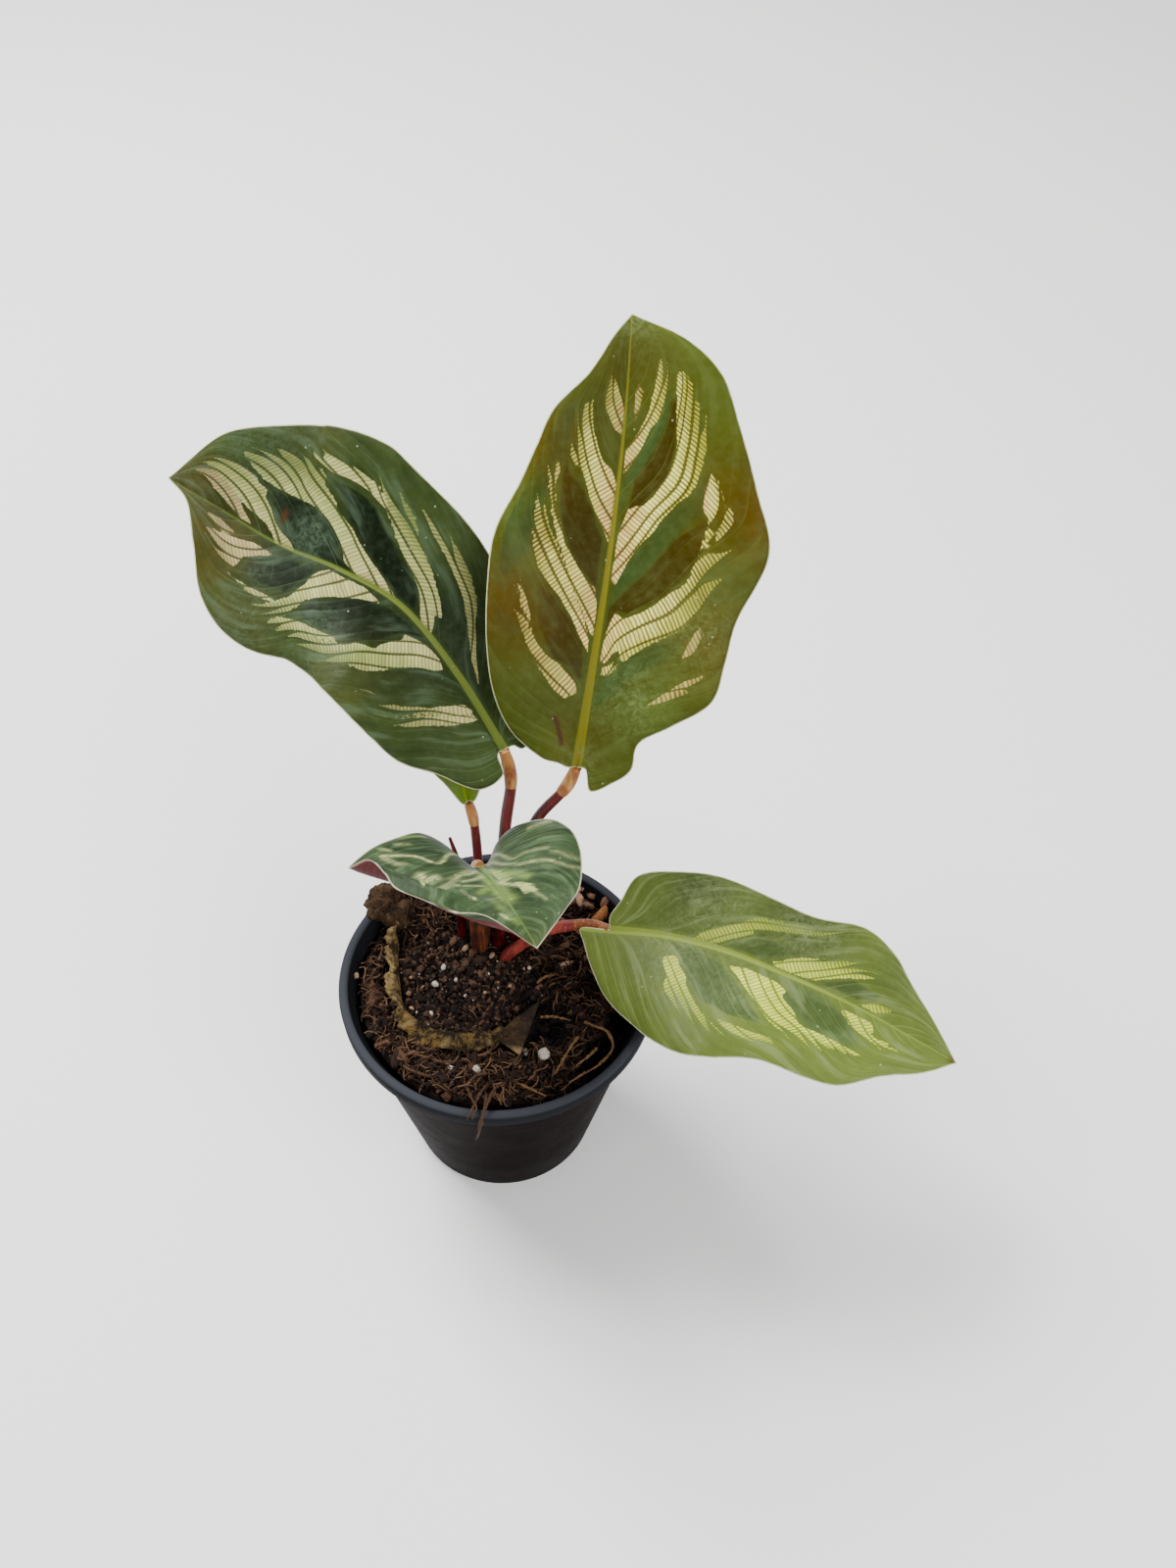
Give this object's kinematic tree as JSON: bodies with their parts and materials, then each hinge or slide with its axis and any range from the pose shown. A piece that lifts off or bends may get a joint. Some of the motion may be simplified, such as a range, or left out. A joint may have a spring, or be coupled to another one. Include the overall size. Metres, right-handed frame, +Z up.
{
  "type": "potted peacock plant",
  "caption": "Small prayer plant with large patterned oval leaves on red stalks, growing from a plug of soil in a tapered black nursery pot.",
  "frame": {"origin": "centre of the pot's flat underside", "axes": "+Z up along the pot's axis; +Y to the back, the way the tall leaves lean; +X to the right in the picture"},
  "size_m": [0.142, 0.1008, 0.1472],
  "materials": {
    "pot_plastic": "satin black moulded plastic",
    "soil": "moist dark brown potting mix of peat, coir and bark with white perlite",
    "wrap_paper": "torn, crinkled, soil-stained tan paper",
    "dry_sheath": "dry orange-brown leaf sheaths",
    "petiole_red": "smooth dark maroon stalk, slightly glossy",
    "pulvinus_yellow": "smooth yellow-tan swollen joint",
    "leaf_bluish": "satin dark blue-green leaf with cream windows, maroon below",
    "leaf_olive": "satin olive-green leaf with cream windows, maroon below",
    "leaf_grey": "satin grey-green blotched leaf with a pale margin, maroon below",
    "leaf_lime": "satin yellow-green leaf with pale windows, maroon below"
  },
  "bodies": {
    "root": {"pot": "pot_plastic", "potting_soil": "soil", "plug_wrap": "wrap_paper", "crown_sheath": "dry_sheath", "young_shoot": "petiole_red", "petiole_left": "petiole_red", "pulvinus_left": "pulvinus_yellow", "blade_left": "leaf_bluish", "petiole_top": "petiole_red", "pulvinus_top": "pulvinus_yellow", "blade_top": "leaf_olive", "petiole_front": "petiole_red", "pulvinus_front": "pulvinus_yellow", "blade_front": "leaf_grey", "petiole_right": "petiole_red", "pulvinus_right": "pulvinus_yellow", "blade_right": "leaf_lime", "petiole_young": "petiole_red", "pulvinus_young": "pulvinus_yellow", "blade_young": "leaf_lime"}
  },
  "joints": []
}
